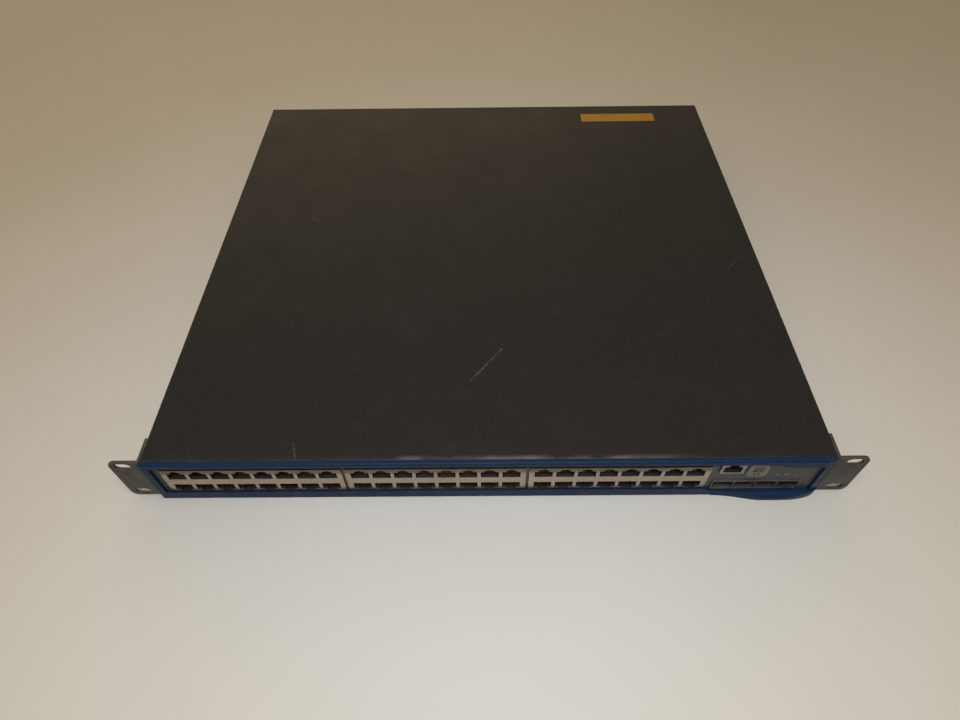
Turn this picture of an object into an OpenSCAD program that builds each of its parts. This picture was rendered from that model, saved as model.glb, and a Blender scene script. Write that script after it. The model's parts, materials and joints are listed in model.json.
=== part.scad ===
// Rackmount network switch, one rack unit high, for a 19-inch rack.
// Front faces -Y, +X is to the right seen from the front, +Z is up.
// The origin is the centre of the footprint, on the surface the case rests on.

/* [Case] */
// Width of the case body, without the rack ears
case_w = 440; // [438:1:442]
// Depth from the front edge of the cover to the rear face
case_d = 420; // [400:5:440]
// Height of the case
case_h = 43.6; // [43.4:0.1:44]
// Thickness of the folded steel sheet
sheet_t = 1; // [0.8:0.1:1]
// Outer radius of the cover's folds
bend_r = 1.2; // [1:0.1:1.5]
// How far the inlet and the screw heads stand out at the rear
rear_out = 2; // [2:0.5:3]

/* [Bezel] */
// Thickness of the bezel, front to back
bezel_t = 3.5; // [3:0.5:4]
// How far the belly under the fibre ports bulges forward of the bezel
belly_out = 4.5; // [3:0.5:6]
// Width of the end bars
end_bar = 5; // [4.5:0.5:5.5]
// Height of the bottom bar
bottom_bar = 6; // [5.5:0.1:6.2]
// Height of the top bar over the port banks
top_bar = 4.2; // [4:0.1:4.3]
// Height of the blank badge area at the right of the top bar
badge_bar = 7.6; // [6:0.2:7.8]

/* [Rack ears] */
// Width over both ears
ear_span = 482.6; // [482:0.1:483]
// Distance between the slots of the two ears
slot_span = 465.1; // [464.8:0.1:465.4]
// Distance between the two slots of one ear
slot_rise = 31.75; // [31.75:0.05:32]
// Width of a slot across its length
slot_w = 6.8; // [6.5:0.1:7.1]
// Length of a slot, end to end
slot_l = 10.5; // [10:0.1:11]
// Thickness of the ears
ear_t = 2; // [1.5:0.1:2]

/* [Port banks] */
// Distance between neighbouring port columns
port_pitch = 13.97; // [13.97:0.01:14]
// Distance between neighbouring port banks
bank_pitch = 118.5; // [118.5:0.1:119]
// Centre of the left port bank
bank_x0 = -152; // [-152.5:0.5:-151.5]
// Width of a bank over its metal shield
bank_w = 116.5; // [116:0.1:116.5]
// Depth of a port bank
bank_depth = 26; // [24:1:30]
// Depth of a port, from its mouth to its back wall
port_depth = 15.5; // [14:0.5:17]

/* [Fans] */
// Side length of a fan's frame
fan_size = 40; // [38:1:40]
// Thickness of a fan along its axis
fan_t = 20; // [18:1:22]

/* [Mode button] */
// Travel of the mode button
button_travel = 1; // [0.5:0.1:1.2]

/* [Hidden] */
$fn = 48;

// Planes across the depth of the case
total_d = belly_out + bezel_t + case_d + rear_out;
front_y = -total_d / 2 + belly_out + bezel_t;
rear_y = front_y + case_d;
rear_wall_y = rear_y - 2 * sheet_t;
shield_y = front_y - 2.4;
plate_y = front_y - 1.2;
mid_z = case_h / 2;
half_w = case_w / 2;
top_in_z = case_h - sheet_t;
rear_lip = 7.6;
vent_ys = [-110, -50, 10, 70, 130];
gap = 0.2;

// Pegs behind the bezel's end bars, which press into the front panel
peg_xs = [-half_w + 4.1, half_w - 4.6];
peg_zs = [12, 34];
peg_r = 0.6;

// The tray's side walls stand just inside the cover's sides
tray_x = half_w - sheet_t - gap;

// Boards: the main board lies on standoffs over the tray's floor
board_z = 6.5;
board_t = 1.6;
board_back = 24;
board_left = -192;
board_right = 212;

// Jacks: heights of the two rows of ports and of the band between them
jack_w = 11.7;
jack_body = 6.8;
jack_step = 8.6;
jack_tab = 9.4;
upper_z = 24.6;
lower_z = 18;
latch_w = 6.4;
pipe_z = 37.6;
pipe_h = 1.2;
bar_gap = 0.02;
shield_t = 0.3;
shield_h = 29;
columns = 8;
wires = 8;
wire_pitch = 1.02;

// Right-hand end of the front panel
console_x = 156.5;
console_z = 28.8;
console_w = 15.5;
console_h = 12;
console_depth = 18;
sfp_x = 176.5;
sfp_pitch = 14.25;
sfp_count = 4;
sfp_z = 7.1;
sfp_h = 10;
sfp_depth = 48;
sfp_wall = 0.35;
surround_x = 173;
surround_z = 30.5;
surround_w = 13;
surround_h = 15.4;
window_w = 6.8;
window_h = 7;
display_z = 32.7;
digit = 2.2;
button_z = 26.4;
button_r = 1.8;
daughter_y = front_y + 9;
led_xs = [188, 194, 200];
led_z = 24;
led_r = 1.2;

// Ear screws and other fasteners
ear_leg = 18;
ear_bend = 2.2;
ear_z0 = 0.8;
ear_z1 = 42.8;
ear_front = front_y - 0.5;
ear_screw_ys = [front_y + 6, front_y + 13];
ear_screw_zs = [10, 33.6];
cover_screw_ys = [-150, -30, 190];
cover_screw_z = 6;
rear_screw_xs = [-200, -60, 60, 200];
rear_screw_z = case_h - 4;
panel_screw_xs = [-190, -64, 64, 190];
panel_screw_y = front_y + 5;

// Fans sit against the left side wall
fan_ys = [22, 82, 142];
fan_z = 1.2 + fan_size / 2;
fan_bore = 18.6;
fan_pitch = 32;
fan_x = -tray_x + sheet_t;
rotor_r = 18;
shaft_r = 1;

// Rear sockets
inlet_x = -168;
inlet_z = 20;
inlet_w = 24;
inlet_h = 16.2;
inlet_depth = 16;
socket_x = -100;
socket_w = 30;
socket_h = 12;
socket_depth = 12;
ground_x = -130;

standoffs = [for (x = [-184, -62, 62, 184], y = [-148, -74, 2]) [x, y]];
supply_x0 = -188;
supply_x1 = -30;
supply_y0 = 36;
supply_y1 = 190;
supply_posts = [for (x = [supply_x0 + 6, supply_x1 - 6], y = [supply_y0 + 6, supply_y1 - 6]) [x, y]];

function bank_x(i) = bank_x0 + i * bank_pitch;
function column_x(i, c) = bank_x(i) + (c - (columns - 1) / 2) * port_pitch;
function sfp_cell_x(i) = sfp_x + (i - (sfp_count - 1) / 2) * sfp_pitch;

// ---------- shared shapes ----------

// A front-view outline (x, z) pushed along +Y
module along_y(y0, len) {
    translate([0, y0 + len, 0]) rotate([90, 0, 0]) linear_extrude(len) children();
}

// A side-view outline (y, z) pushed along +X
module along_x(x0, len) {
    translate([x0, 0, 0]) rotate([90, 0, 90]) linear_extrude(len) children();
}

// A box from its two corners
module block(a, b) {
    translate(a) cube(b - a);
}

// A bar with round ends, drawn flat and centred, dx wide over all
module stadium(dx, dy) {
    flat = dx > dy ? [dx - dy, dy] : [dx, dy - dx];
    square(flat, center = true);
    for (s = [-1, 1])
        translate(dx > dy ? [s * flat[0] / 2, 0] : [0, s * flat[1] / 2])
            circle(min(dx, dy) / 2, $fn = 24);
}

module round_square(dx, dy, r) {
    square([dx - 2 * r, dy], center = true);
    square([dx, dy - 2 * r], center = true);
    for (sx = [-1, 1], sy = [-1, 1])
        translate([sx * (dx / 2 - r), sy * (dy / 2 - r)]) circle(r);
}

// A screw along -Z from the surface it is driven into, with a cross recess
module screw(r, len, head_r, head_h, flush) {
    top = flush ? 0 : head_h;
    difference() {
        union() {
            translate([0, 0, -len]) cylinder(r = r, h = len);
            if (flush) translate([0, 0, -head_h]) cylinder(r1 = r, r2 = head_r, h = head_h);
            else cylinder(r = head_r, h = head_h);
        }
        for (a = [0, 90])
            rotate([0, 0, a]) translate([0, 0, top])
                cube([head_r * 1.1, head_r * 0.28, head_h], center = true);
    }
}

// The mouth of a jack, its flat side at z = 0 and its latch notch upwards
module jack_outline() {
    polygon([[-jack_w / 2, 0], [jack_w / 2, 0], [jack_w / 2, jack_body],
        [latch_w / 2, jack_body], [latch_w / 2, jack_step], [1.7, jack_step], [1.7, jack_tab],
        [-1.7, jack_tab], [-1.7, jack_step], [-latch_w / 2, jack_step],
        [-latch_w / 2, jack_body], [-jack_w / 2, jack_body]]);
}

// Both rows of a bank's mouths, in front view
module bank_mouths(i) {
    for (c = [0:columns - 1]) translate([column_x(i, c), 0]) {
        translate([0, upper_z]) jack_outline();
        translate([0, lower_z]) mirror([0, 1]) jack_outline();
    }
}

// Eight spring wires on the flat side of one jack
module jack_wires(y0) {
    for (w = [0:wires - 1])
        along_x((w - (wires - 1) / 2) * wire_pitch - 0.22, 0.44)
            polygon([[y0, 0], [y0 + 1.6, 0], [y0 + 9.4, 1.9], [y0 + 9.3, 2.25], [y0 + 1.4, 0.35],
                [y0, 0.35]]);
}

module countersinks(points_y, z, x_side) {
    for (y = points_y)
        translate([x_side * half_w, y, z]) rotate([0, -x_side * 90, 0])
            translate([0, 0, -0.01]) cylinder(r1 = 3.01, r2 = 1.6, h = 1.4);
}

// ---------- sheet metal case ----------

// Rows of upright vent slots in the side of the cover
module side_vents(x0, len, y_mid, count) {
    for (c = [0:count - 1], z = [12.5, 31])
        translate([0, y_mid + (c - (count - 1) / 2) * 4.6, z])
            rotate([90, 0, 90]) translate([0, 0, x0]) linear_extrude(len) stadium(2.6, 14);
}

module base_tray() {
    color([0.2, 0.2, 0.21]) difference() {
        union() {
            block([-tray_x, front_y, 0], [tray_x, rear_wall_y + sheet_t, sheet_t]);
            for (s = [-1, 1]) translate([s * (tray_x - sheet_t / 2), 0, 0])
                block([-sheet_t / 2, front_y + 0.2, 0], [sheet_t / 2, rear_wall_y + sheet_t, 41]);
            block([-tray_x, rear_wall_y, 0], [tray_x, rear_wall_y + sheet_t, top_in_z - 0.1]);
        }
        for (y = fan_ys) {
            translate([-half_w, y, fan_z]) rotate([0, 90, 0]) cylinder(r = fan_bore, h = 6);
            for (sy = [-1, 1], sz = [-1, 1])
                translate([-half_w, y + sy * fan_pitch / 2, fan_z + sz * fan_pitch / 2])
                    rotate([0, 90, 0]) cylinder(r = 1.8, h = 6);
        }
        for (y = vent_ys) block([tray_x - 3, y - 18, 5], [half_w, y + 18, 38.5]);
        for (s = [-1, 1], y = cover_screw_ys) translate([s * half_w, y, cover_screw_z])
            rotate([0, 90, 0]) cylinder(r = 1.6, h = 8, center = true);
        for (s = [-1, 1], y = ear_screw_ys, z = ear_screw_zs) translate([s * half_w, y, z])
            rotate([0, 90, 0]) cylinder(r = 2.1, h = 8, center = true);
        for (x = panel_screw_xs) translate([x, panel_screw_y, -0.01])
            cylinder(r1 = 3.01, r2 = 1.6, h = 1.4);
        for (x = rear_screw_xs) translate([x, rear_wall_y - 1, rear_screw_z])
            rotate([-90, 0, 0]) cylinder(r = 1.6, h = 4);
        along_y(rear_wall_y - 1, 4) {
            translate([inlet_x, inlet_z]) square([inlet_w + 5, inlet_h + 5], center = true);
            for (s = [-1, 1]) translate([inlet_x + s * 20, inlet_z]) circle(1.6);
            translate([socket_x, inlet_z]) square([socket_w + 4, socket_h + 4], center = true);
            translate([ground_x, inlet_z]) circle(2.1);
            for (k = [0:29]) translate([-20 + k * 7.4, inlet_z]) stadium(3, 20);
        }
    }
}

// Front view of the cover's outside: a rectangle with two folded corners
module cover_outline() {
    translate([-half_w, 0]) square([case_w, case_h - bend_r]);
    translate([-half_w + bend_r, 0]) square([case_w - 2 * bend_r, case_h]);
    for (s = [-1, 1]) translate([s * (half_w - bend_r), case_h - bend_r]) circle(bend_r);
}

module top_cover() {
    color([0.19, 0.185, 0.185]) difference() {
        intersection() {
            union() {
                along_y(front_y, case_d - sheet_t) difference() {
                    cover_outline();
                    translate([-half_w + sheet_t, -1])
                        square([case_w - 2 * sheet_t, top_in_z + 1]);
                }
                along_y(rear_y - sheet_t, sheet_t) intersection() {
                    cover_outline();
                    translate([-half_w, case_h - rear_lip]) square([case_w, rear_lip]);
                }
            }
            along_x(-half_w, case_w) {
                translate([front_y, 0]) square([case_d, case_h - bend_r]);
                translate([front_y, 0]) square([case_d - bend_r, case_h]);
                translate([rear_y - bend_r, case_h - bend_r]) circle(bend_r);
            }
        }
        for (y = fan_ys) side_vents(-half_w - 1, 3, y, 8);
        for (y = vent_ys) side_vents(half_w - 2, 3, y, 8);
        for (s = [-1, 1]) countersinks(cover_screw_ys, cover_screw_z, s);
        for (s = [-1, 1], y = ear_screw_ys, z = ear_screw_zs) translate([s * half_w, y, z])
            rotate([0, 90, 0]) cylinder(r = 2.1, h = 4, center = true);
        for (x = rear_screw_xs) translate([x, rear_y - 2, rear_screw_z])
            rotate([-90, 0, 0]) cylinder(r = 1.6, h = 4);
    }
}

module front_panel() {
    color([0.46, 0.46, 0.46]) difference() {
        union() {
            block([-half_w + 3.1, plate_y, 4.1], [half_w - 3.1, plate_y + 1, top_in_z - 0.2]);
            along_x(-206, 412) polygon([[plate_y + 0.5, 4.1], [front_y + 0.3, 4.1],
                [front_y + 0.3, sheet_t + 0.05], [front_y + 9, sheet_t + 0.05],
                [front_y + 9, sheet_t + 1.05], [front_y + 1.3, sheet_t + 1.05],
                [front_y + 1.3, 5.1], [plate_y + 0.5, 5.1]]);
        }
        along_y(plate_y - 1, 4) {
            for (i = [0:2]) translate([bank_x(i), board_z + shield_h / 2])
                square([bank_w + 0.4, shield_h + 0.4], center = true);
            translate([console_x, console_z + console_h / 2 - 1.6])
                square([console_w + 0.4, console_h + 0.4], center = true);
            translate([sfp_x, sfp_z + sfp_h / 2]) square([sfp_count * sfp_pitch + 0.7,
                sfp_h + 0.4], center = true);
            translate([surround_x, surround_z]) round_square(surround_w - 2, surround_h - 2, 3);
            for (x = led_xs) translate([x, led_z]) circle(led_r + 0.1);
            for (i = [0:2], c = [0:columns - 1], s = [-1, 1])
                translate([column_x(i, c) + s * 3.4, pipe_z])
                    square([2.4, pipe_h + 0.2], center = true);
            for (x = peg_xs, z = peg_zs) translate([x, z]) circle(peg_r + 0.1);
        }
        for (x = panel_screw_xs) translate([x, panel_screw_y, 0]) cylinder(r = 1.6, h = 3);
    }
}

// ---------- bezel ----------

// Front view: the frame, deeper at the top right where the blank badge area is
module bezel_front() {
    steps = 10;
    badge_x = 197;
    low = case_h - badge_bar;
    high = case_h - top_bar;
    difference() {
        translate([-half_w, 0]) square([case_w, case_h]);
        polygon(concat([[-half_w + end_bar, bottom_bar], [half_w - end_bar - 1.2, bottom_bar]],
            [[half_w - end_bar - 1.2, low]],
            [for (k = [0:steps]) [badge_x - 18 * k / steps,
                low + (high - low) * (1 - cos(180 * k / steps)) / 2]],
            [[-half_w + end_bar, high]]));
    }
}

// Plan view: square at the left, rounded at the right
module bezel_plan() {
    steps = 10;
    back = front_y;
    face = front_y - bezel_t;
    polygon(concat([[-half_w, back], [-half_w, face + 0.8], [-half_w + 0.8, face]],
        [for (k = [0:steps]) [half_w - 9 + 9 * sin(90 * k / steps),
            back - bezel_t * cos(90 * k / steps) - (k == steps ? 0.01 : 0)]],
        [[half_w, back]]));
}

// Plan view of the belly: a slow swell on the left, a quick round on the right
module belly_plan() {
    steps = 16;
    x0 = 150;
    peak = 190;
    face = front_y - bezel_t;
    polygon(concat([[x0, front_y - 1.3]],
        [for (k = [0:steps]) [x0 + (peak - x0) * k / steps,
            face - belly_out * (1 - cos(180 * k / steps)) / 2]],
        [for (k = [1:steps]) [peak + (half_w - peak) * sin(90 * k / steps),
            front_y - 1.3 - (bezel_t - 1.3 + belly_out) * cos(90 * k / steps)]]));
}

// Front view of the lip that hides the lower edge of the port shields
module lip_front() {
    x0 = -half_w + end_bar - 1;
    x1 = bank_x(2) + bank_w / 2 + 1.2;
    low = bottom_bar - 1;
    high = lower_z - jack_tab - 0.15;
    polygon([[x0, low], [x1 + 4, low], [x1 + 4, bottom_bar], [x1, high], [x0, high]]);
}

module front_bezel() {
    face = front_y - bezel_t;
    edge = 1.2;
    color([0.06, 0.10, 0.24]) union() {
        difference() {
            intersection() {
                along_y(face, bezel_t) bezel_front();
                linear_extrude(case_h) bezel_plan();
                along_x(-half_w, case_w) polygon(concat([[front_y, 0], [front_y, case_h]],
                    [for (k = [0:6]) [face + edge - edge * sin(15 * k),
                        case_h - edge + edge * cos(15 * k)]],
                    [for (k = [0:6]) [face + edge - edge * cos(15 * k),
                        edge - edge * sin(15 * k)]]));
            }
            block([-half_w + 3, front_y - 1.3, 4], [half_w - 3, front_y + 1, top_in_z - 0.1]);
        }
        along_y(face, shield_y - 0.1 - face) lip_front();
        intersection() {
            linear_extrude(bottom_bar) belly_plan();
            along_x(120, 100) polygon(concat([[front_y, 0], [front_y, bottom_bar]],
                [for (k = [0:8]) [face - (belly_out + 0.2) * sin(11.25 * k),
                    2 + (bottom_bar - 2) * cos(11.25 * k)]],
                [[face - belly_out + 0.6, 0]]));
        }
        for (x = peg_xs, z = peg_zs) translate([x, front_y - 1.5, z])
            rotate([-90, 0, 0]) cylinder(r = peg_r, h = 4);
    }
}

// ---------- rack ears ----------

// An ear on the side s: the flange with two slots, and the leg along the case
module rack_ear(s) {
    flange_x = ear_span / 2;
    leg_x = half_w + 0.05;
    r = 5;
    color([0.34, 0.32, 0.30]) difference() {
        union() {
            along_y(ear_front, ear_t) difference() {
                union() {
                    translate([s * (leg_x + flange_x - r) / 2, (ear_z0 + ear_z1) / 2])
                        square([flange_x - r - leg_x, ear_z1 - ear_z0], center = true);
                    translate([s * (flange_x - r), (ear_z0 + ear_z1) / 2])
                        square([2 * r, ear_z1 - ear_z0 - 2 * r], center = true);
                    for (z = [ear_z0 + r, ear_z1 - r])
                        translate([s * (flange_x - r), z]) circle(r);
                }
                for (k = [-1, 1]) translate([s * slot_span / 2, mid_z + k * slot_rise / 2])
                    stadium(slot_l, slot_w);
            }
            translate([s * (leg_x + ear_t / 2), 0, 0])
                block([-ear_t / 2, ear_front, ear_z0], [ear_t / 2, front_y + ear_leg, ear_z1]);
        }
        translate([s * (leg_x + ear_bend), ear_front + ear_bend, 0]) linear_extrude(case_h)
            difference() {
                translate([s > 0 ? -ear_bend - 1 : 0, -ear_bend - 1])
                    square([ear_bend + 1, ear_bend + 1]);
                circle(ear_bend);
            }
        for (y = ear_screw_ys, z = ear_screw_zs) translate([s * (leg_x + ear_t), y, z])
            rotate([0, -s * 90, 0]) translate([0, 0, -0.01]) {
                cylinder(r1 = 3.81, r2 = 2.1, h = 1.6);
                cylinder(r = 2.1, h = 4);
            }
    }
}

module ear_screws() {
    color([0.7, 0.7, 0.7])
        for (s = [-1, 1], y = ear_screw_ys, z = ear_screw_zs)
            translate([s * (half_w + 0.05 + ear_t), y, z]) rotate([0, s * 90, 0])
                screw(2, 7, 3.6, 1.5, true);
}

module cover_screws() {
    color([0.2, 0.2, 0.2]) {
        for (s = [-1, 1], y = cover_screw_ys) translate([s * half_w, y, cover_screw_z])
            rotate([0, s * 90, 0]) screw(1.5, 5, 2.8, 1.2, true);
        for (x = rear_screw_xs) translate([x, rear_y, rear_screw_z]) rotate([-90, 0, 0])
            screw(1.5, 5, 2.8, 1.5, false);
    }
}

module panel_screws() {
    color([0.7, 0.7, 0.7])
        for (x = panel_screw_xs) translate([x, panel_screw_y, 0]) rotate([180, 0, 0])
            screw(1.5, 3.5, 2.6, 1, true);
}

// ---------- network ports ----------

module port_shield(i) {
    x0 = bank_x(i) - bank_w / 2;
    color([0.78, 0.76, 0.72]) difference() {
        block([x0, shield_y, board_z], [x0 + bank_w, shield_y + bank_depth, board_z + shield_h]);
        block([x0 + shield_t, shield_y + shield_t, board_z - 1],
            [x0 + bank_w - shield_t, shield_y + bank_depth - shield_t,
                board_z + shield_h - shield_t]);
        along_y(shield_y - 1, 2) bank_mouths(i);
    }
}

// A bank's plastic: a rear block, three long plates and the uprights between the ports, all of
// them plain bars a hair apart, with the uprights wider beside the latch notches
module port_housing(i) {
    inset = shield_t + 0.05;
    x0 = bank_x(i) - bank_w / 2 + inset;
    x1 = bank_x(i) + bank_w / 2 - inset;
    y0 = shield_y + inset;
    y1 = shield_y + port_depth;
    top = board_z + shield_h - inset;
    rows = [[upper_z, upper_z + jack_body, upper_z + jack_tab],
        [lower_z, lower_z - jack_body, lower_z - jack_tab]];
    color([0.09, 0.09, 0.09]) {
        block([x0, y1 + bar_gap, board_z], [x1, shield_y + bank_depth - inset, top]);
        for (z = [[board_z, rows[1][2]], [lower_z, upper_z], [rows[0][2], top]])
            block([x0, y0, z[0]], [x1, y1, z[1]]);
        for (c = [0:columns], r = rows) {
            left = c == 0 ? x0 : column_x(i, c - 1) + jack_w / 2;
            right = c == columns ? x1 : column_x(i, c) - jack_w / 2;
            left_wide = c == 0 ? x0 : left - jack_w / 2 + latch_w / 2;
            right_wide = c == columns ? x1 : right + jack_w / 2 - latch_w / 2;
            block([left, y0, min(r[0], r[1]) + bar_gap], [right, y1, max(r[0], r[1]) - bar_gap]);
            block([left_wide, y0, min(r[1], r[2]) + bar_gap],
                [right_wide, y1, max(r[1], r[2]) - bar_gap]);
        }
    }
}

module port_contacts(i) {
    color([0.83, 0.62, 0.25])
        for (c = [0:columns - 1]) translate([column_x(i, c), 0, 0]) {
            translate([0, 0, upper_z]) jack_wires(shield_y + 2.2);
            translate([0, 0, lower_z]) mirror([0, 0, 1]) jack_wires(shield_y + 2.2);
        }
}

// Clear pipes that carry the light of each port's lamps to the panel
module port_light_pipes() {
    top = pipe_z + pipe_h / 2;
    low = pipe_z - pipe_h / 2;
    back = shield_y + bank_depth + 1.5;
    color([0.85, 0.9, 0.88])
        for (i = [0:2], c = [0:columns - 1], s = [-1, 1])
            along_x(column_x(i, c) + s * 3.4 - 1.1, 2.2)
                polygon([[plate_y - 0.1, low], [back, low], [back, board_z + 1.3],
                    [back + 1.2, board_z + 1.3], [back + 1.2, top - 0.8],
                    [back + 0.4, top], [plate_y - 0.1, top]]);
}

module port_leds() {
    back = shield_y + bank_depth + 1.5;
    color([0.9, 0.9, 0.8])
        for (i = [0:2], c = [0:columns - 1], s = [-1, 1])
            translate([column_x(i, c) + s * 3.4 - 1, back - 0.2, board_z]) cube([2, 1.6, 1.2]);
}

module console_mouth() {
    translate([console_x, console_z]) jack_outline();
}

module console_shield() {
    z0 = console_z - 1.6;
    color([0.78, 0.76, 0.72]) difference() {
        block([console_x - console_w / 2, shield_y, z0],
            [console_x + console_w / 2, shield_y + console_depth, z0 + console_h]);
        block([console_x - console_w / 2 + shield_t, shield_y + shield_t, z0 - 1],
            [console_x + console_w / 2 - shield_t, shield_y + console_depth - shield_t,
                z0 + console_h - shield_t]);
        along_y(shield_y - 1, 2) console_mouth();
    }
}

module console_housing() {
    inset = shield_t + 0.05;
    z0 = console_z - 1.6;
    color([0.09, 0.09, 0.09]) difference() {
        union() {
            block([console_x - console_w / 2 + inset, shield_y + inset, z0],
                [console_x + console_w / 2 - inset, shield_y + console_depth - inset,
                    z0 + console_h - inset]);
            block([console_x - 6, shield_y + 6, board_z],
                [console_x + 6, shield_y + console_depth - 2, z0 + 0.5]);
        }
        along_y(shield_y, port_depth) console_mouth();
        block([console_x - 8, shield_y, board_z - 1],
            [console_x + 8, shield_y + sfp_depth, sfp_z + sfp_h + 0.3]);
    }
}

module console_contacts() {
    color([0.83, 0.62, 0.25]) translate([console_x, 0, console_z]) jack_wires(shield_y + 2.2);
}

// ---------- fibre ports ----------

// A cage of stamped plates: floor with press-in pins, roof, rear wall and five upright walls
module sfp_cage() {
    w = sfp_count * sfp_pitch + 0.3;
    y0 = shield_y;
    y1 = shield_y + sfp_depth;
    top = sfp_z + sfp_h;
    color([0.66, 0.64, 0.6]) {
        block([sfp_x - w / 2, y0, sfp_z], [sfp_x + w / 2, y1, sfp_z + sfp_wall]);
        block([sfp_x - w / 2, y0, top - sfp_wall], [sfp_x + w / 2, y1, top]);
        block([sfp_x - w / 2, y1 - sfp_wall, sfp_z + sfp_wall + bar_gap],
            [sfp_x + w / 2, y1, top - sfp_wall - bar_gap]);
        for (i = [0:sfp_count]) {
            x = sfp_x + (i - sfp_count / 2) * (sfp_pitch - 0.02);
            block([x - sfp_wall / 2, y0, sfp_z + sfp_wall + bar_gap],
                [x + sfp_wall / 2, y1 - sfp_wall - bar_gap, top - sfp_wall - bar_gap]);
            for (y = [6, 22, 40]) translate([x, y0 + y, board_z])
                cylinder(r = 0.4, h = sfp_z - board_z - bar_gap);
        }
    }
}

module sfp_connectors() {
    color([0.12, 0.12, 0.12])
        for (i = [0:sfp_count - 1]) translate([sfp_cell_x(i), 0, 0]) difference() {
            block([-6, shield_y + 37.5, sfp_z + sfp_wall + 0.05],
                [6, shield_y + sfp_depth - 1, sfp_z + 6]);
            block([-4.6, shield_y + 36, sfp_z + 2.6], [4.6, shield_y + 42, sfp_z + 4]);
        }
}

// ---------- display, lamps and mode button ----------

// The light plastic surround that holds the display window and guides the button
module display_surround() {
    color([0.72, 0.7, 0.66]) difference() {
        union() {
            along_y(plate_y - 1.5, 1.45) translate([surround_x, surround_z])
                round_square(surround_w, surround_h, 4);
            along_y(plate_y - 0.1, 3.6) translate([surround_x, surround_z])
                round_square(surround_w - 2.2, surround_h - 2.2, 2.9);
        }
        along_y(plate_y - 2, 8) {
            translate([surround_x, display_z]) square([window_w + 0.2, window_h + 0.2], center = true);
            translate([surround_x, button_z]) circle(button_r + 0.08);
        }
    }
}

module display_window() {
    color([0.12, 0.05, 0.05]) along_y(plate_y - 1.2, 1.2) translate([surround_x, display_z])
        square([window_w, window_h], center = true);
}

// A strip of the digit: a hexagon with pointed ends
module segment(len) {
    t = 0.65;
    polygon([[-len / 2, 0], [-len / 2 + t / 2, t / 2], [len / 2 - t / 2, t / 2], [len / 2, 0],
        [len / 2 - t / 2, -t / 2], [-len / 2 + t / 2, -t / 2]]);
}

module seven_segment_display() {
    face = plate_y + 0.1;
    color([0.75, 0.2, 0.15]) union() {
        block([surround_x - 3.3, face, display_z - 3.4],
            [surround_x + 3.3, daughter_y - 0.1, display_z + 3.4]);
        along_y(face - 0.08, 0.2) translate([surround_x, display_z]) {
            for (k = [-1, 0, 1]) translate([0, k * (digit + 0.2)]) segment(digit);
            for (k = [-1, 1], m = [-1, 1])
                translate([k * (digit / 2 + 0.2), m * (digit / 2 + 0.1)]) rotate(90) segment(digit);
        }
    }
}

module display_board() {
    color([0.1, 0.3, 0.16]) difference() {
        block([165.5, daughter_y, 18.2], [206, daughter_y + 1.2, 41]);
        translate([203, daughter_y - 1, 38]) rotate([-90, 0, 0]) cylinder(r = 1.2, h = 4);
    }
}

module mode_switch() {
    color([0.15, 0.15, 0.15]) union() {
        block([surround_x - 3, daughter_y - 2.1, button_z - 2.6],
            [surround_x + 3, daughter_y - 0.02, button_z + 2.6]);
        translate([surround_x, daughter_y - 2.9, button_z]) rotate([-90, 0, 0])
            cylinder(r = 1.4, h = 0.9);
    }
}

// The button's cap slides in the surround, its stem ends short of the switch
module mode_button() {
    color([0.3, 0.3, 0.3]) rotate_about_button() rotate_extrude()
        polygon([[0, 0], [button_r - 0.4, 0], [button_r, 0.4], [button_r, 4.6],
            [1.2, 4.6], [1.2, daughter_y - 3 - button_travel - (plate_y - 2.9)],
            [0, daughter_y - 3 - button_travel - (plate_y - 2.9)]]);
}

module rotate_about_button() {
    translate([surround_x, plate_y - 2.9, button_z]) rotate([-90, 0, 0]) children();
}

module status_leds() {
    color([0.55, 0.85, 0.5])
        for (x = led_xs) translate([x, plate_y - 0.2, led_z]) rotate([-90, 0, 0]) union() {
            cylinder(r = led_r, h = daughter_y - plate_y);
            translate([0, 0, 4]) cylinder(r = led_r + 0.5, h = 1);
        }
}

// ---------- boards ----------

module main_board() {
    color([0.08, 0.3, 0.16]) difference() {
        block([board_left, front_y + 1.6, board_z - board_t], [board_right, board_back, board_z]);
        for (p = standoffs) translate([p[0], p[1], 0]) cylinder(r = 1.7, h = 20);
    }
}

module board_standoffs() {
    color([0.75, 0.65, 0.35]) for (p = concat(standoffs, supply_posts))
        translate([p[0], p[1], sheet_t]) difference() {
            cylinder(r = 3, h = board_z - board_t - sheet_t, $fn = 6);
            translate([0, 0, 0.5]) cylinder(r = 1.55, h = 8);
        }
}

module board_screws() {
    color([0.7, 0.7, 0.7]) for (p = concat(standoffs, supply_posts))
        translate([p[0], p[1], board_z]) screw(1.5, 4.5, 2.8, 1.6, false);
}

module switch_chips() {
    color([0.14, 0.14, 0.15]) for (x = [-120, 0, 120])
        block([x - 18, -123, board_z], [x + 18, -87, board_z + 2.4]);
}

module chip_heatsinks() {
    z0 = board_z + 2.4;
    color([0.15, 0.15, 0.16]) for (x = [-120, 0, 120]) {
        block([x - 22, -127, z0], [x + 22, -83, z0 + 2]);
        for (k = [0:10]) block([x - 22 + k * 4.25, -127, z0 + 1.9],
            [x - 20.5 + k * 4.25, -83, z0 + 14]);
    }
}

module memory_chips() {
    color([0.12, 0.12, 0.12]) for (x = [-70, -45, 45, 70], y = [-60, -42])
        block([x - 9, y - 5, board_z], [x + 9, y + 5, board_z + 1.2]);
}

// Plug-in modules that put power on the port pairs
module poe_modules() {
    color([0.1, 0.28, 0.3]) for (x = [-150, -90, -30, 30, 90, 150]) {
        block([x - 22, -36, board_z], [x + 22, -32, board_z + 3]);
        block([x - 24, -34.8, board_z + 3], [x + 24, -33.2, board_z + 26]);
        for (k = [-1, 0, 1]) block([x + k * 14 - 4, -33.2, board_z + 8],
            [x + k * 14 + 4, -31, board_z + 18]);
    }
}

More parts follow.
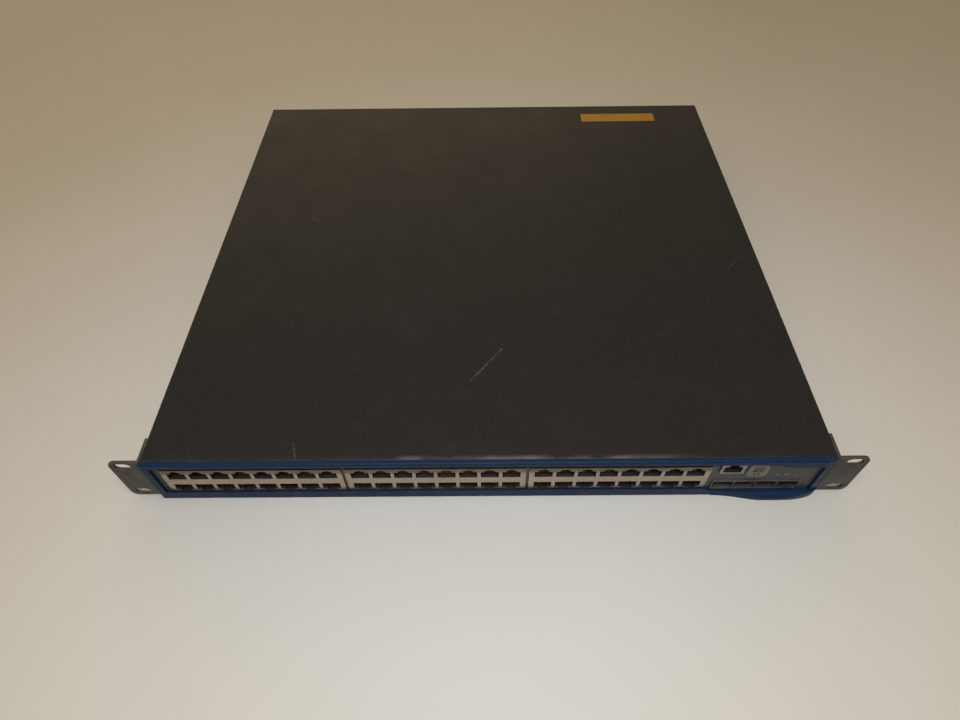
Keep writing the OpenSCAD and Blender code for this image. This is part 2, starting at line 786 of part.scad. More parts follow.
// ---------- power supply ----------

module supply_board() {
    color([0.65, 0.5, 0.25]) difference() {
        block([supply_x0, supply_y0, board_z - board_t], [supply_x1, supply_y1, board_z]);
        for (p = supply_posts) translate([p[0], p[1], 0]) cylinder(r = 1.7, h = 20);
    }
}

module supply_insulator() {
    color([0.9, 0.88, 0.75]) difference() {
        block([supply_x0 - 2, supply_y0 - 2, sheet_t], [supply_x1 + 2, supply_y1 + 2, sheet_t + 0.4]);
        for (p = supply_posts) translate([p[0], p[1], 0]) cylinder(r = 3.2, h = 20);
    }
}

// Wound cores: a ferrite frame with a bobbin through it
module supply_transformers() {
    for (p = [[-80, 80, 20], [-80, 140, 16], [-150, 90, 13]]) translate([p[0], p[1], board_z]) {
        color([0.2, 0.2, 0.2]) difference() {
            block([-p[2], -p[2] * 0.8, 0], [p[2], p[2] * 0.8, 26]);
            block([-p[2] * 0.6, -p[2], 5], [p[2] * 0.6, p[2], 21]);
        }
        color([0.85, 0.7, 0.2]) block([-p[2] * 0.6, -p[2] * 0.95, 5], [p[2] * 0.6, p[2] * 0.95, 21]);
    }
}

module supply_capacitors() {
    color([0.1, 0.1, 0.35]) {
        for (x = [-168, -140]) translate([x, 118, board_z + 12.5]) rotate([-90, 0, 0])
            cylinder(r = 12, h = 42);
        for (x = [-52, -40], y = [60, 76, 92]) translate([x, y, board_z]) cylinder(r = 5, h = 22);
    }
}

module supply_heatsinks() {
    color([0.6, 0.6, 0.62]) for (x = [-118, -104]) difference() {
        block([x - 1.5, 60, board_z], [x + 1.5, 170, board_z + 32]);
        for (y = [80, 110, 140]) translate([x - 5, y, board_z + 20]) rotate([0, 90, 0])
            cylinder(r = 1.6, h = 10);
    }
}

// Six wires that carry the supply's output to the main board, and their plugs
module supply_harness() {
    y0 = 16;
    y1 = 44;
    rise = 10;
    bend = 4;
    for (k = [0:5]) translate([-70 + k * 3.2, 0, 0]) color(k < 3 ? [0.7, 0.1, 0.1] : [0.1, 0.1, 0.1]) {
        for (y = [y0, y1]) translate([0, y, board_z + 8]) cylinder(r = 1.1, h = rise - bend);
        translate([0, y0 + bend, board_z + 8 + rise]) rotate([-90, 0, 0])
            cylinder(r = 1.1, h = y1 - y0 - 2 * bend);
        for (s = [0, 1]) translate([0, s == 0 ? y0 + bend : y1 - bend, board_z + 8 + rise - bend])
            rotate([90, 0, s == 0 ? -90 : 90]) rotate_extrude(angle = 90) translate([bend, 0])
                circle(1.1, $fn = 24);
    }
    color([0.9, 0.9, 0.85]) for (y = [y0, y1])
        block([-72.5, y - 3, board_z], [-51.5, y + 3, board_z + 8]);
}

// ---------- fans ----------

module fan_frames() {
    color([0.08, 0.08, 0.08]) for (y = fan_ys) translate([fan_x, y, fan_z]) rotate([0, 90, 0])
        difference() {
            union() {
                difference() {
                    linear_extrude(fan_t) round_square(fan_size, fan_size, 2.5);
                    translate([0, 0, -1]) cylinder(r = fan_bore, h = fan_t + 2);
                }
                cylinder(r = 9, h = 2);
                cylinder(r = 3, h = 12);
                for (a = [20, 140, 260]) rotate(a) translate([0, -1, 0])
                    cube([fan_bore + 0.4, 2, 1.6]);
            }
            translate([0, 0, 1]) cylinder(r = shaft_r + 0.05, h = 14);
            for (sx = [-1, 1], sy = [-1, 1])
                translate([sx * fan_pitch / 2, sy * fan_pitch / 2, -1])
                    cylinder(r = 1.4, h = fan_t + 2);
        }
}

// Seven swept blades on a cup that spins over the frame's bearing tube
module fan_rotor(k) {
    blades = 7;
    color([0.1, 0.1, 0.1]) translate([fan_x, fan_ys[k], fan_z]) rotate([0, 90, 0]) union() {
        difference() {
            translate([0, 0, 2.5]) cylinder(r = 10.5, h = 13);
            translate([0, 0, 2]) cylinder(r = 9.3, h = 11.8);
        }
        translate([0, 0, 2]) cylinder(r = shaft_r, h = 13);
        intersection() {
            for (b = [0:blades - 1]) rotate(b * 360 / blades)
                translate([14, 0, 9]) rotate([52, 0, 0]) cube([9.4, 13, 1.1], center = true);
            difference() {
                translate([0, 0, 3]) cylinder(r = rotor_r, h = 12);
                translate([0, 0, 2]) cylinder(r = 10, h = 14);
            }
        }
    }
}

module fan_screws() {
    color([0.7, 0.7, 0.7])
        for (y = fan_ys, sy = [-1, 1], sz = [-1, 1])
            translate([fan_x - sheet_t, y + sy * fan_pitch / 2, fan_z + sz * fan_pitch / 2])
                rotate([0, 90, 0]) {
                    cylinder(r = 1.7, h = 0.95);
                    cylinder(r = 1.3, h = 9);
                }
}

// ---------- rear sockets ----------

// Mouth of the mains inlet: a rectangle with two corners cut off
module inlet_outline(grow) {
    w = inlet_w / 2 + grow;
    h = inlet_h / 2 + grow;
    cut = 4.5;
    polygon([[-w, -h], [w, -h], [w, h - cut], [w - cut, h], [-w + cut, h], [-w, h - cut]]);
}

module ac_inlet() {
    color([0.07, 0.07, 0.07]) difference() {
        union() {
            along_y(rear_wall_y + sheet_t, rear_out + sheet_t) translate([inlet_x, inlet_z])
                round_square(50, 23, 3);
            along_y(rear_wall_y - 18, 18 + sheet_t + 0.1) translate([inlet_x, inlet_z])
                inlet_outline(2);
        }
        along_y(rear_y + rear_out - inlet_depth, inlet_depth + 1) translate([inlet_x, inlet_z])
            inlet_outline(0);
        for (s = [-1, 1]) translate([inlet_x + s * 20, rear_wall_y, inlet_z])
            rotate([-90, 0, 0]) {
                cylinder(r = 1.7, h = 8);
                translate([0, 0, rear_out + 2 * sheet_t - 1.4]) cylinder(r1 = 1.7, r2 = 3.3, h = 1.41);
            }
    }
}

module ac_inlet_pins() {
    back = rear_y + rear_out - inlet_depth;
    color([0.8, 0.78, 0.7]) {
        for (s = [-1, 1]) block([inlet_x + s * 7 - 1, back, inlet_z - 3.4],
            [inlet_x + s * 7 + 1, back + 11, inlet_z + 0.6]);
        block([inlet_x - 1, back, inlet_z + 1], [inlet_x + 1, back + 12, inlet_z + 5]);
    }
}

module inlet_screws() {
    color([0.7, 0.7, 0.7]) for (s = [-1, 1])
        translate([inlet_x + s * 20, rear_y + rear_out, inlet_z]) rotate([-90, 0, 0])
            screw(1.5, 7, 3.1, 1.3, true);
}

module redundant_socket() {
    color([0.1, 0.1, 0.1]) difference() {
        union() {
            along_y(rear_wall_y + sheet_t, rear_out + sheet_t - 0.5) translate([socket_x, inlet_z])
                round_square(socket_w + 8, socket_h + 8, 2);
            along_y(rear_wall_y - 14, 14 + sheet_t + 0.1) translate([socket_x, inlet_z])
                square([socket_w + 3.8, socket_h + 3.8], center = true);
        }
        along_y(rear_y + rear_out - 0.5 - socket_depth, socket_depth + 1)
            translate([socket_x, inlet_z]) square([socket_w, socket_h], center = true);
    }
}

module redundant_socket_pins() {
    back = rear_y + rear_out - 0.5 - socket_depth;
    color([0.8, 0.78, 0.7]) for (k = [0:2])
        translate([socket_x + (k - 1) * 9, back, inlet_z]) rotate([-90, 0, 0])
            cylinder(r = 1.2, h = 8);
}

module ground_screw() {
    color([0.75, 0.7, 0.5]) translate([ground_x, rear_wall_y + sheet_t, inlet_z])
        rotate([-90, 0, 0]) union() {
            translate([0, 0, 0.8]) screw(2, 8, 3.6, 1.8, false);
            difference() {
                cylinder(r = 4.4, h = 0.9);
                translate([0, 0, -1]) cylinder(r = 1.9, h = 4);
            }
        }
}

module yellow_label() {
    color([0.75, 0.62, 0.1]) translate([136, rear_y - 23, case_h]) linear_extrude(0.1)
        round_square(74, 14, 1);
}

base_tray();
top_cover();
front_bezel();
front_panel();
rack_ear(-1);  // rack_ear_left
rack_ear(1);  // rack_ear_right
ear_screws();
cover_screws();
panel_screws();
port_shield(0);  // port_shield_left
port_shield(1);  // port_shield_centre
port_shield(2);  // port_shield_right
port_housing(0);  // port_housing_left
port_housing(1);  // port_housing_centre
port_housing(2);  // port_housing_right
port_contacts(0);  // port_contacts_left
port_contacts(1);  // port_contacts_centre
port_contacts(2);  // port_contacts_right
port_light_pipes();
port_leds();
console_shield();
console_housing();
console_contacts();
sfp_cage();
sfp_connectors();
display_surround();
display_window();
seven_segment_display();
display_board();
mode_button();
mode_switch();
status_leds();
main_board();
board_standoffs();
board_screws();
switch_chips();
chip_heatsinks();
memory_chips();
poe_modules();
supply_board();
supply_insulator();
supply_transformers();
supply_capacitors();
supply_heatsinks();
supply_harness();
fan_frames();
fan_rotor(0);  // fan_rotor_front
fan_rotor(1);  // fan_rotor_middle
fan_rotor(2);  // fan_rotor_rear
fan_screws();
ac_inlet();
ac_inlet_pins();
inlet_screws();
redundant_socket();
redundant_socket_pins();
ground_screw();
yellow_label();
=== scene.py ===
import json
import math

import bmesh
import bpy
from mathutils import Matrix, Vector


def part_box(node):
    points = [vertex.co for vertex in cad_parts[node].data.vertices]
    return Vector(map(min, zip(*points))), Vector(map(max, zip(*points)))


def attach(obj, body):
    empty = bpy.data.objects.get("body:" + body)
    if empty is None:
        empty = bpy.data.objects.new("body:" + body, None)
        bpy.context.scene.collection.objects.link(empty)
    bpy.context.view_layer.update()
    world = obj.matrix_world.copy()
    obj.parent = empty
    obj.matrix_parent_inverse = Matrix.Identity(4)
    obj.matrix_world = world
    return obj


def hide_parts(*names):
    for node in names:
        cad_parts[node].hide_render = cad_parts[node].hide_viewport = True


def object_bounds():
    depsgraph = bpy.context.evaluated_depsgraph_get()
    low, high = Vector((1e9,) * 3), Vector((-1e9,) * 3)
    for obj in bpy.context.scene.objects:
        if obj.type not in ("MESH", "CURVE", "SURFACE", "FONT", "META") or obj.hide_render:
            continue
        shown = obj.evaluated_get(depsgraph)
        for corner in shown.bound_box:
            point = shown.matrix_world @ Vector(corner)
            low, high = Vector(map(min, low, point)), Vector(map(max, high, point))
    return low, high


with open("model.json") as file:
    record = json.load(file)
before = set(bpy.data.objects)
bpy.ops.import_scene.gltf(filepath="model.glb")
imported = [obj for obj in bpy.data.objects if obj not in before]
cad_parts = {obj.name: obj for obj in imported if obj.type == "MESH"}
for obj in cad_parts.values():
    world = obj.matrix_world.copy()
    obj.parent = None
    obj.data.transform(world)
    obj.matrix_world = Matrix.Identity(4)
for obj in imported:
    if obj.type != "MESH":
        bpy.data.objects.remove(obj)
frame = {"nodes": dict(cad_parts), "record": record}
cad_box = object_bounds()
MM = 0.001
cover_low, cover_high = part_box("top_cover")
FRONT_Y = cover_low.y
TOP_Z = cover_high.z

# Where the camera is held: angles in degrees, lens in millimetres, places in metres.
CAMERA_PITCH = 50.98
CAMERA_YAW = -0.58
CAMERA_ROLL = -0.91
CAMERA_LENS = 23.82
CAMERA_X = -0.0017
CAMERA_AHEAD = 0.2025
CAMERA_HEIGHT = 0.3925

# The table: half its side, its gap below the switch, and the distances over which its painted pool of light
# fades to a darker, warmer painted shade.
FLOOR_HALF = 40.0
FLOOR_DROP = 0.0001
LIGHT_POOL_REACH = (0.08, 0.62)

# Heights between which the port shields turn from lit to a painted shade, towards their upper and lower
# rims.
SHIELD_SHADE_TOP = (0.0290, 0.0325)
SHIELD_SHADE_LOW = (0.0145, 0.0105)


# ---------- camera, lights and floor ----------

def make_camera():
    """A compact camera's view, held low over the front edge and looking down at the cover."""
    pitch, yaw, roll = (math.radians(a) for a in (CAMERA_PITCH, CAMERA_YAW, CAMERA_ROLL))
    forward = Vector((math.sin(yaw) * math.cos(pitch), math.cos(yaw) * math.cos(pitch), -math.sin(pitch)))
    level = Vector((math.cos(yaw), -math.sin(yaw), 0))
    upward = level.cross(forward)
    right = level * math.cos(roll) + upward * math.sin(roll)
    up = upward * math.cos(roll) - level * math.sin(roll)
    data = bpy.data.cameras.new("camera")
    data.sensor_width = 36
    data.lens = CAMERA_LENS
    data.clip_start = 0.01
    camera = bpy.data.objects.new("camera", data)
    bpy.context.scene.collection.objects.link(camera)
    turn = Matrix((right, up, -forward)).transposed().to_4x4()
    place = (CAMERA_X, FRONT_Y - CAMERA_AHEAD, CAMERA_HEIGHT)
    camera.matrix_world = Matrix.Translation(place) @ turn
    bpy.context.scene.camera = camera


def area_light(name, place, target, size, watts, tint, spread=180):
    data = bpy.data.lights.new(name, "AREA")
    data.shape = "RECTANGLE"
    data.size, data.size_y = size
    data.energy = watts
    data.color = tint
    data.spread = math.radians(spread)
    lamp = bpy.data.objects.new(name, data)
    lamp.location = place
    lamp.rotation_euler = (Vector(target) - Vector(place)).to_track_quat("-Z", "Y").to_euler()
    bpy.context.scene.collection.objects.link(lamp)


def make_lights():
    area_light("key", (0.02, -0.50, 0.88), (0, -0.28, 0), (0.5, 0.36), 2.5, (0.95, 0.99, 1.0), 115)
    area_light("ceiling", (0, -0.2, 2.3), (0, 0, 0), (1.2, 0.8), 4.9, (1.0, 0.86, 0.67))
    area_light("back_lamp", (-0.7, 3.2, 1.4), (0, 0.2, 0), (3.2, 1.2), 18, (1.0, 0.78, 0.50))
    area_light("window", (-1.6, 0.2, 0.5), (-0.3, 0, 0), (0.9, 0.5), 3.0, (1.0, 0.84, 0.60))
    area_light("right_fill", (1.6, 0.1, 0.32), (0.2, 0, 0), (0.9, 0.4), 1.5, (1.0, 0.92, 0.80))
    make_world()
    bpy.context.scene.view_settings.view_transform = "Standard"


def make_world():
    """A dim warm room, brighter low down behind the switch, by direction only."""
    world = bpy.data.worlds.new("room")
    world.use_nodes = True
    tree = world.node_tree

    def add(kind, **inputs):
        node = tree.nodes.new(kind)
        for key, value in inputs.items():
            socket = node.inputs[key.replace("_", " ")]
            if isinstance(value, bpy.types.NodeSocket):
                tree.links.new(value, socket)
            else:
                socket.default_value = value
        return node

    way = add("ShaderNodeSeparateXYZ", Vector=add("ShaderNodeTexCoord").outputs["Generated"])
    behind = add("ShaderNodeMapRange", Value=way.outputs["Y"], From_Min=0.1, From_Max=0.75)
    low = add("ShaderNodeMapRange", Value=way.outputs["Z"], From_Min=0.95, From_Max=0.35)
    share = tree.nodes.new("ShaderNodeMath")
    share.operation = "MULTIPLY"
    tree.links.new(behind.outputs[0], share.inputs[0])
    tree.links.new(low.outputs[0], share.inputs[1])
    blend = tree.nodes.new("ShaderNodeMix")
    blend.data_type = "RGBA"
    tree.links.new(share.outputs[0], blend.inputs[0])
    blend.inputs[6].default_value = (0.195, 0.170, 0.133, 1)
    blend.inputs[7].default_value = (0.50, 0.38, 0.23, 1)
    tree.links.new(blend.outputs[2], tree.nodes["Background"].inputs["Color"])
    bpy.context.scene.world = world


# ---------- material helpers ----------

class Paint:
    """A material being built: every call adds nodes and returns the socket that holds their result."""

    def __init__(self, name, roughness=0.5, metallic=0.0, specular=0.5):
        self.material = bpy.data.materials.new(name)
        self.material.use_nodes = True
        self.tree = self.material.node_tree
        self.shader = self.tree.nodes["Principled BSDF"]
        self.shader.inputs["Roughness"].default_value = roughness
        self.shader.inputs["Metallic"].default_value = metallic
        self.shader.inputs["Specular IOR Level"].default_value = specular
        self.place = self.add("ShaderNodeTexCoord").outputs["Object"]

    def add(self, kind, inputs=(), **settings):
        node = self.tree.nodes.new(kind)
        for key, value in settings.items():
            setattr(node, key, value)
        for key, value in dict(inputs).items():
            if isinstance(value, bpy.types.NodeSocket):
                self.tree.links.new(value, node.inputs[key])
            else:
                node.inputs[key].default_value = value
        return node

    def math(self, operation, a, b=0.0):
        return self.add("ShaderNodeMath", {0: a, 1: b}, operation=operation).outputs[0]

    def vector(self, operation, inputs):
        return self.add("ShaderNodeVectorMath", inputs, operation=operation)

    def noise(self, scale, detail=4.0, rough=0.55, stretch=None):
        at = self.place
        if stretch:
            at = self.add("ShaderNodeMapping", {"Vector": at, "Scale": stretch}).outputs[0]
        return self.add("ShaderNodeTexNoise", {"Vector": at, "Scale": scale, "Detail": detail,
                                               "Roughness": rough}).outputs["Fac"]

    def remap(self, value, low, high, out_low=0.0, out_high=1.0):
        node = self.add("ShaderNodeMapRange", {"Value": value, "From Min": low, "From Max": high,
                                               "To Min": out_low, "To Max": out_high})
        return node.outputs[0]

    def mix(self, share, a, b):
        node = self.add("ShaderNodeMix", data_type="RGBA")
        for socket, value in ((0, share), (6, a), (7, b)):
            if isinstance(value, bpy.types.NodeSocket):
                self.tree.links.new(value, node.inputs[socket])
            else:
                node.inputs[socket].default_value = value if socket == 0 else (*value[:3], 1)
        return node.outputs[2]

    def axis(self, name):
        return self.add("ShaderNodeSeparateXYZ", {0: self.place}).outputs[name]

    def set(self, **values):
        for name, value in values.items():
            self.tree.links.new(value, self.shader.inputs[name.replace("_", " ")])
        return self

    def bump(self, height, distance, strength=1.0):
        node = self.add("ShaderNodeBump", {"Height": height, "Distance": distance, "Strength": strength})
        previous = self.shader.inputs["Normal"]
        if previous.is_linked:
            self.tree.links.new(previous.links[0].from_socket, node.inputs["Normal"])
        self.tree.links.new(node.outputs[0], previous)
        return self

    def rounded(self, radius):
        """Catches light along sharp edges as if they had this radius. Called before any bump."""
        soft = self.add("ShaderNodeBevel", {"Radius": radius}, samples=4).outputs[0]
        return self.set(Normal=soft)

    def edges(self, radius):
        """1 on sharp edges, 0 on flats: where handling rubs the finish off."""
        soft = self.add("ShaderNodeBevel", {"Radius": radius}, samples=3).outputs[0]
        flat = self.add("ShaderNodeNewGeometry").outputs["Normal"]
        same = self.vector("DOT_PRODUCT", {0: soft, 1: flat}).outputs["Value"]
        return self.remap(same, 0.995, 0.90)

    def scratch(self, start, end, width):
        """1 along a thin line drawn on the surface between two points, broken up by noise."""
        start, end = Vector(start), Vector(end)
        way = end - start
        unit = way.normalized()
        offset = self.vector("SUBTRACT", {0: self.place, 1: start}).outputs[0]
        along = self.vector("DOT_PRODUCT", {0: offset, 1: unit}).outputs["Value"]
        kept = self.math("MINIMUM", self.math("MAXIMUM", along, 0.0), way.length)
        spoke = self.vector("SCALE", {0: unit, "Scale": kept}).outputs[0]
        gap = self.vector("DISTANCE", {0: offset, 1: spoke}).outputs["Value"]
        return self.math("MULTIPLY", self.remap(gap, width, width * 0.3),
                         self.remap(self.noise(240, 2), 0.35, 0.62))


def painted(name, colour, rough=0.6, grain=0.05, scale=1400, wear=None, wear_radius=0.0006):
    """Powder or spray paint: mottled tone, fine grain, rubbed edges."""
    p = Paint(name, rough)
    tone = p.noise(9, 5)
    dark = [c * 0.82 for c in colour]
    light = [c * 1.22 for c in colour]
    base = p.mix(tone, dark, light)
    speck = p.remap(p.noise(scale * 0.7, 2), 0.66, 0.78, 0, 0.35)
    base = p.mix(speck, base, [min(1, c * 2.0 + 0.01) for c in colour])
    if wear:
        rubbed = p.math("MULTIPLY", p.edges(wear_radius), p.remap(p.noise(180, 4), 0.42, 0.60))
        base = p.mix(rubbed, base, wear)
    p.set(Base_Color=base)
    p.set(Roughness=p.remap(p.noise(40, 4), 0.3, 0.7, rough - 0.08, rough + 0.1))
    p.bump(p.noise(scale, 2), grain * MM)
    return p


def moulded(name, colour, rough=0.45, grain=0.02, scale=2200, specular=0.45, edge=None):
    """Moulded plastic: near even colour, fine spark-eroded grain, faint handling marks."""
    p = Paint(name, rough, specular=specular)
    if edge:
        p.rounded(edge)
    base = p.mix(p.noise(16, 3), [c * 0.88 for c in colour], [c * 1.12 for c in colour])
    p.set(Base_Color=base)
    smudge = p.noise(70, 5, 0.6)
    p.set(Roughness=p.remap(smudge, 0.3, 0.7, rough - 0.07, rough + 0.09))
    p.bump(p.noise(scale, 2), grain * MM)
    return p


def bare_metal(name, colour, rough=0.35, stretch=(1, 1, 14), stain=0.25, scale=500):
    """Plated or brushed metal: streaks one way, dull patches."""
    p = Paint(name, rough, metallic=1.0)
    patches = p.noise(60, 5, 0.6)
    base = p.mix(p.math("MULTIPLY", patches, stain), colour, [c * 0.45 for c in colour])
    p.set(Base_Color=base)
    streaks = p.noise(scale, 3, 0.5, stretch=stretch)
    p.set(Roughness=p.remap(p.math("ADD", streaks, patches), 0.7, 1.3, rough - 0.1, rough + 0.14))
    p.bump(streaks, 0.01 * MM)
    return p


# ---------- materials, one for each slot ----------

def scrapes(p):
    """Scratches on the cover, as start, end, width and strength, and faint wiping marks between them."""
    y0 = FRONT_Y
    z0 = TOP_Z
    marks = [((0.011, y0 + 0.090, z0), (-0.011, y0 + 0.062, z0), 0.00095, 0.30),
             ((0.205, y0 + 0.187, z0), (0.187, y0 + 0.162, z0), 0.00070, 0.22),
             ((-0.1215, y0 + 0.002, z0), (-0.1245, y0 + 0.0125, z0), 0.00095, 0.36),
             ((-0.149, y0 + 0.240, z0), (-0.145, y0 + 0.237, z0), 0.00120, 0.30),
             ((-0.060, y0 + 0.310, z0), (-0.018, y0 + 0.318, z0), 0.00022, 0.13),
             ((0.060, y0 + 0.030, z0), (0.118, y0 + 0.072, z0), 0.00022, 0.12),
             ((-0.190, y0 + 0.120, z0), (-0.160, y0 + 0.190, z0), 0.00020, 0.12),
             ((0.120, y0 + 0.250, z0), (0.150, y0 + 0.236, z0), 0.00025, 0.12)]
    scraped = p.remap(p.noise(900, 2, 0.5, stretch=(0.03, 1.0, 1.0)), 0.70, 0.78, 0, 0.06)
    for start, end, width, depth in marks:
        scraped = p.math("MAXIMUM", scraped, p.math("MULTIPLY", p.scratch(start, end, width), depth))
    return scraped


def front_rub(p):
    """1 where hands have rubbed the cover's front edge, most of all near its middle."""
    near_front = p.remap(p.axis("Y"), FRONT_Y + 0.0035, FRONT_Y + 0.0002)
    centred = p.remap(p.math("ABSOLUTE", p.math("SUBTRACT", p.axis("X"), 0.02)), 0.115, 0.055)
    patchy = p.remap(p.noise(120, 5, 0.6, stretch=(0.35, 1, 1)), 0.36, 0.60)
    amount = p.math("ADD", p.math("MULTIPLY", centred, 0.62), 0.08)
    return p.math("MULTIPLY", p.math("MULTIPLY", near_front, patchy), amount)


def case_paint():
    """Dark charcoal powder coat with the scratches, the specks and the rubbed front edge of a used case."""
    p = Paint("case_paint", 0.55, specular=0.26)
    tone = p.mix(p.noise(5, 6, 0.6), (0.0082, 0.0080, 0.0084), (0.0118, 0.0114, 0.0116))
    grains = p.remap(p.noise(1300, 3, 0.6), 0.5, 0.72, 0, 0.5)
    tone = p.mix(grains, tone, (0.026, 0.025, 0.0245))
    dust = p.math("MULTIPLY", p.remap(p.noise(55, 6, 0.7), 0.48, 0.80), 0.05)
    tone = p.mix(dust, tone, (0.12, 0.11, 0.10))
    tone = p.mix(scrapes(p), tone, (0.21, 0.20, 0.185))
    tone = p.mix(front_rub(p), tone, (0.19, 0.175, 0.16))
    chipped = p.math("MULTIPLY", p.edges(0.0005), p.remap(p.noise(260, 4), 0.50, 0.66, 0, 0.75))
    tone = p.mix(chipped, tone, (0.17, 0.165, 0.16))
    p.set(Base_Color=tone)
    p.set(Roughness=p.remap(p.noise(30, 5, 0.6), 0.3, 0.7, 0.50, 0.58))
    p.bump(p.noise(1500, 3), 0.05 * MM)
    p.bump(p.noise(420, 2), 0.05 * MM, 0.6)
    return p


def tin_plate():
    """Tin plated shields, with a painted shade along the upper and lower rims."""
    p = bare_metal("tin_plate", (0.50, 0.405, 0.315), 0.36, (14, 1, 1), 0.35)
    plain = p.shader.inputs["Base Color"].links[0].from_socket
    height = p.axis("Z")
    # painted shade: the shields are darkened towards their upper and lower rims, which stand in shadow
    shaded_rims = p.math("MAXIMUM", p.remap(height, *SHIELD_SHADE_TOP), p.remap(height, *SHIELD_SHADE_LOW))
    grime_and_shade = p.math("MULTIPLY", shaded_rims, p.remap(p.noise(90, 4), 0.3, 0.7, 0.60, 0.86))
    p.set(Base_Color=p.mix(grime_and_shade, plain, (0.085, 0.072, 0.060)))
    return p


def label_film():
    """A blank yellow label: flat film with a slightly uneven print and patches of grime."""
    p = Paint("label_yellow", 0.42, specular=0.2)
    base = p.mix(p.noise(60, 4), (0.32, 0.145, 0.0025), (0.40, 0.200, 0.005))
    grime_and_shade = p.remap(p.noise(220, 5, 0.65), 0.52, 0.80, 0, 0.5)
    base = p.mix(grime_and_shade, base, (0.12, 0.08, 0.02))
    p.set(Base_Color=base)
    p.bump(p.noise(700, 3), 0.01 * MM)
    return p


def board_mask():
    """Green solder mask with fine copper lines under it."""
    p = Paint("board_green", 0.35)
    grid = p.add("ShaderNodeTexBrick", {"Vector": p.place, "Scale": 160.0, "Mortar Size": 0.012})
    lines = grid.outputs["Fac"]
    base = p.mix(lines, (0.012, 0.085, 0.035), (0.03, 0.16, 0.06))
    p.set(Base_Color=p.mix(p.math("MULTIPLY", p.noise(40), 0.3), base, (0.01, 0.05, 0.02)))
    p.bump(lines, 0.02 * MM)
    return p


def clear_plastic(name, colour, rough):
    """Cloudy see-through plastic, as of a light pipe or a small lamp."""
    p = Paint(name, rough, specular=0.5)
    p.shader.inputs["Transmission Weight"].default_value = 0.35
    haze = p.noise(300, 3)
    p.set(Base_Color=p.mix(haze, [c * 0.8 for c in colour], colour))
    p.set(Roughness=p.remap(haze, 0.3, 0.7, rough - 0.06, rough + 0.1))
    p.bump(p.noise(900, 2), 0.01 * MM)
    return p


def make_materials():
    return {
        "case_paint": case_paint(),
        "bezel_plastic": moulded("bezel_plastic", (0.0068, 0.0215, 0.062), 0.42, 0.025, 1800, 0.15, 0.0004),
        "panel_paint": painted("panel_paint", (0.062, 0.062, 0.063), 0.5, 0.03, 1600, (0.18, 0.175, 0.17)),
        "ear_paint": painted("ear_paint", (0.044, 0.038, 0.034), 0.50, 0.04, 1500, (0.24, 0.225, 0.21)),
        "screw_steel": bare_metal("screw_steel", (0.50, 0.50, 0.49), 0.32, (1, 1, 1)),
        "screw_black": bare_metal("screw_black", (0.05, 0.05, 0.05), 0.4, (1, 1, 1)),
        "tin_plate": tin_plate(),
        "cage_metal": bare_metal("cage_metal", (0.34, 0.325, 0.30), 0.38, (14, 1, 1), 0.4),
        "jack_plastic": moulded("jack_plastic", (0.016, 0.016, 0.016), 0.5),
        "contact_gold": bare_metal("contact_gold", (0.96, 0.56, 0.20), 0.24, (1, 14, 1), 0.15),
        "clear_plastic": clear_plastic("clear_plastic", (0.42, 0.44, 0.42), 0.25),
        "lamp_plastic": clear_plastic("lamp_plastic", (0.20, 0.215, 0.19), 0.2),
        "surround_plastic": moulded("surround_plastic", (0.165, 0.155, 0.148), 0.4, 0.015),
        "window_plastic": moulded("window_plastic", (0.030, 0.012, 0.012), 0.12, 0.003, 900, 0.6),
        "display_segments": moulded("display_segments", (0.30, 0.22, 0.20), 0.4, 0.01),
        "board_green": board_mask(),
        "button_plastic": moulded("button_plastic", (0.10, 0.10, 0.10), 0.42, 0.015),
        "chip_black": moulded("chip_black", (0.02, 0.02, 0.022), 0.55, 0.02),
        "heatsink_aluminium": bare_metal("heatsink_aluminium", (0.55, 0.56, 0.57), 0.45, (1, 14, 1)),
        "standoff_brass": bare_metal("standoff_brass", (0.72, 0.52, 0.22), 0.3, (1, 1, 14)),
        "supply_board_tan": moulded("supply_board_tan", (0.30, 0.19, 0.07), 0.5, 0.02),
        "insulator_film": moulded("insulator_film", (0.6, 0.58, 0.45), 0.35, 0.005),
        "transformer_core": painted("transformer_core", (0.05, 0.05, 0.05), 0.6),
        "capacitor_sleeve": moulded("capacitor_sleeve", (0.015, 0.015, 0.07), 0.3, 0.004),
        "wire_sleeve": moulded("wire_sleeve", (0.22, 0.02, 0.02), 0.45, 0.01),
        "fan_plastic": moulded("fan_plastic", (0.016, 0.016, 0.017), 0.42, 0.02),
        "inlet_plastic": moulded("inlet_plastic", (0.014, 0.014, 0.014), 0.42, 0.02),
        "pin_metal": bare_metal("pin_metal", (0.72, 0.69, 0.62), 0.28, (1, 14, 1)),
        "ground_brass": bare_metal("ground_brass", (0.72, 0.58, 0.32), 0.3, (1, 1, 1)),
        "label_yellow": label_film(),
    }


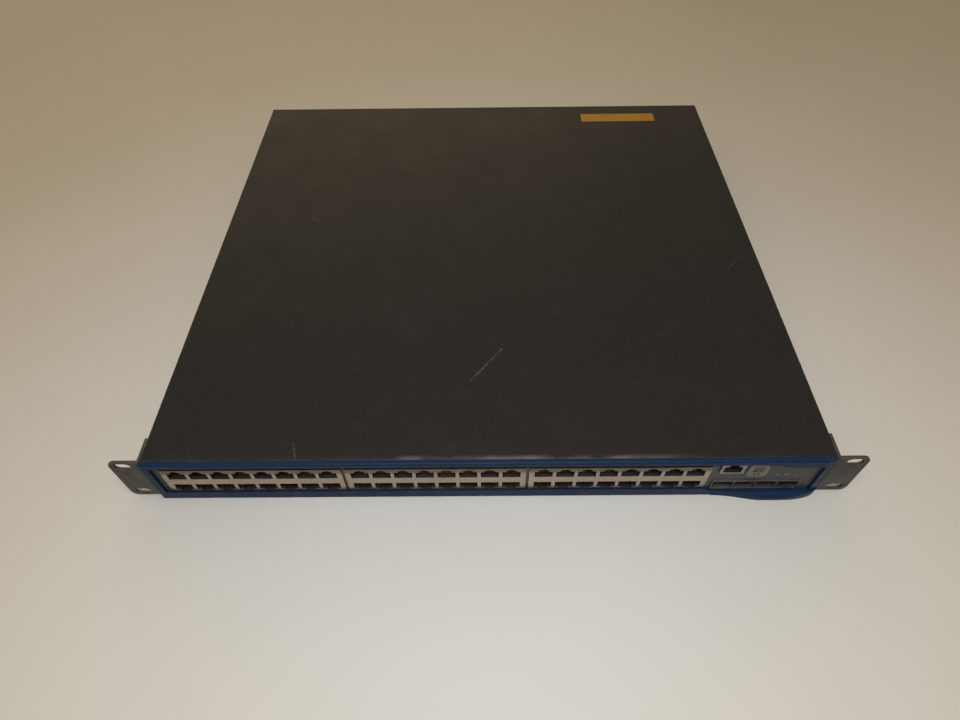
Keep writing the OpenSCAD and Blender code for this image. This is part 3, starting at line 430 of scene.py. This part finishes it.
def floor_material():
    """A plain pale table top under a painted pool of light: bright and neutral just in front of the switch,
    darker and warmer farther away.
    """
    p = Paint("floor_paint", 0.55, specular=0.2)
    base = p.mix(p.noise(2.5, 5, 0.6), (0.61, 0.60, 0.59), (0.66, 0.65, 0.64))
    middle = (0, FRONT_Y - 0.03, 0)
    away = p.vector("DISTANCE", {0: p.place, 1: middle}).outputs["Value"]
    painted_falloff_tone = p.mix(p.noise(6, 4), (0.535, 0.475, 0.385), (0.585, 0.52, 0.43))
    # painted light: the floor darkens and warms with distance from the spot in front of the switch where
    # the key lamp falls
    p.set(Base_Color=p.mix(p.remap(away, *LIGHT_POOL_REACH), base, painted_falloff_tone))
    p.bump(p.noise(220, 4), 0.04 * MM)
    return p.material


def make_floor():
    """One large flat sheet under the switch, part of the setting and not of the object."""
    mesh = bpy.data.meshes.new("floor")
    corners = [(x * FLOOR_HALF, y * FLOOR_HALF, 0) for x, y in ((-1, -1), (1, -1), (1, 1), (-1, 1))]
    mesh.from_pydata(corners, [], [(0, 1, 2, 3)])
    floor = bpy.data.objects.new("floor", mesh)
    floor.location.z = cad_box[0][2] - FLOOR_DROP
    mesh.materials.append(floor_material())
    bpy.context.scene.collection.objects.link(floor)


# ---------- rounded edges ----------

SOFTENED = {
    "rack_ear_left": ("chassis", 0.00030),
    "rack_ear_right": ("chassis", 0.00030),
    "display_surround": ("chassis", 0.00025),
    "mode_button": ("mode_button", 0.00015),
    "ac_inlet": ("chassis", 0.00030),
    "redundant_socket": ("chassis", 0.00030),
}


def soften(name, body, width):
    """Stands in for a CAD node with the same shape, its sharp edges broken by a small radius."""
    source = frame["nodes"][name]
    mesh = source.data.copy()
    work = bmesh.new()
    work.from_mesh(mesh)
    bmesh.ops.remove_doubles(work, verts=work.verts, dist=1e-6)
    bmesh.ops.dissolve_limit(work, angle_limit=math.radians(1.5), verts=work.verts, edges=work.edges)
    work.to_mesh(mesh)
    work.free()
    mesh.shade_smooth()
    piece = bpy.data.objects.new(name + "_soft", mesh)
    bpy.context.scene.collection.objects.link(piece)
    bevel = piece.modifiers.new("soft", "BEVEL")
    bevel.width = width
    bevel.segments = 2
    bevel.limit_method = "ANGLE"
    bevel.angle_limit = math.radians(35)
    bevel.use_clamp_overlap = False
    bevel.harden_normals = True
    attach(piece, body)
    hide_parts(name)


# ---------- finish on the CAD nodes ----------

SLOTS = {row["node"]: row["material_slot"] for row in frame["record"]["subparts"]}
materials = make_materials()
for name, node in frame["nodes"].items():
    node.data.materials.clear()
    node.data.materials.append(materials[SLOTS[name]].material)

for name, (body, width) in SOFTENED.items():
    soften(name, body, width)

make_camera()
make_lights()
make_floor()
